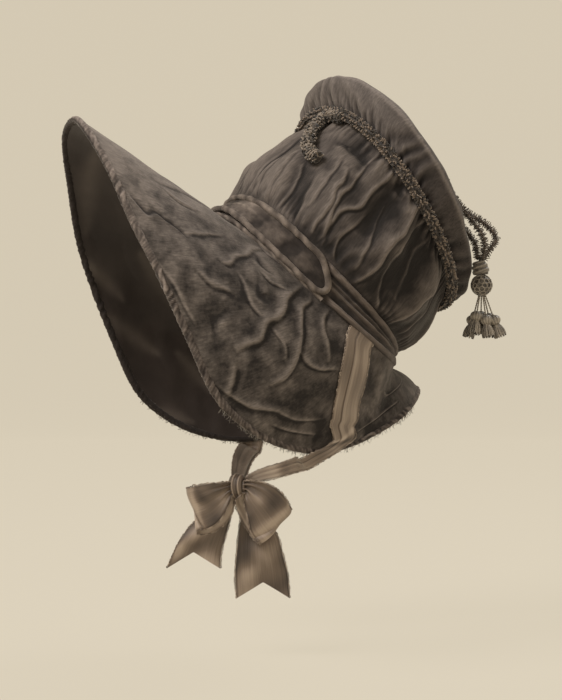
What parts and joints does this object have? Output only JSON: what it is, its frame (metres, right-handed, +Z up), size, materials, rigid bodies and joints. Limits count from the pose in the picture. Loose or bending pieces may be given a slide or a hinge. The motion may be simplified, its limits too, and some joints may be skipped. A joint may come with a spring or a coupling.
{
  "type": "poke bonnet",
  "caption": "Velvet poke bonnet with a deep lined scoop brim, gathered crown and puffed tip, corded band, chenille tassel, and ribbon ties in a bow.",
  "frame": {"origin": "middle of the opening in which the head sits, halfway along the crown's base", "axes": "+Z up, the bonnet faces -Y, +X is the wearer's left"},
  "size_m": [0.2054, 0.3297, 0.4002],
  "materials": {
    "velvet": "warm grey-brown silk velvet, worn lighter on its ridges",
    "velvet_trim": "lighter velvet piping and bias binding",
    "satin_lining": "near-black silk satin with a soft sheen",
    "chenille": "dark brown twisted chenille",
    "tassel_silk": "grey-tan silk thread, netted and twisted",
    "tie_ribbon": "tan-brown silk ribbon with a picot edge"
  },
  "bodies": {
    "root": {"brim_cover": "velvet", "brim_lining": "satin_lining", "brim_binding": "velvet_trim", "crown_band": "velvet", "band_tab": "velvet_trim", "crown_wall": "velvet", "crown_tip": "velvet", "crown_cord": "chenille", "crown_cord_loop": "chenille", "tassel_strand_upper": "chenille", "tassel_strand_middle": "chenille", "tassel_strand_lower": "chenille", "tassel_neck": "tassel_silk", "tassel_ball": "tassel_silk", "tassel_drop_1": "tassel_silk", "tassel_drop_2": "tassel_silk", "tassel_drop_3": "tassel_silk", "tassel_drop_4": "tassel_silk", "tassel_drop_5": "tassel_silk", "tassel_drop_6": "tassel_silk", "tie_left": "tie_ribbon", "tie_right": "tie_ribbon", "bow_knot": "tie_ribbon", "bow_loop_front": "tie_ribbon", "bow_loop_back": "tie_ribbon", "bow_tail_front": "tie_ribbon", "bow_tail_back": "tie_ribbon"}
  },
  "joints": []
}
